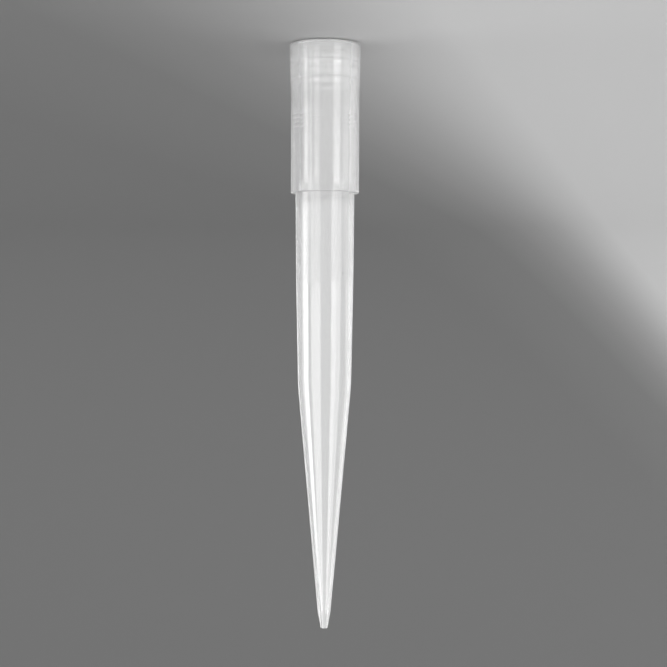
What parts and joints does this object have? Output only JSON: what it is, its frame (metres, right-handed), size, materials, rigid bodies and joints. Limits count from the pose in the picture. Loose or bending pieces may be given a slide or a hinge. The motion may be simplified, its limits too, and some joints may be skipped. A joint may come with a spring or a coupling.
{
  "type": "pipette tip",
  "caption": "Translucent one-piece pipette tip: a ringed socket for the pipette's nozzle, a collar with a rack shoulder, a long barrel and a fine bevelled point.",
  "frame": {"origin": "middle of the mouth, on the surface that the mouth's rim stands on", "axes": "+Z along the tip's axis from the mouth to the point; the tip is round, so X and Y are free"},
  "size_m": [0.0096, 0.0096, 0.078],
  "materials": {
    "natural_polypropylene": "translucent, satin-smooth moulded"
  },
  "bodies": {
    "root": {"pipette_tip": "natural_polypropylene"}
  },
  "joints": []
}
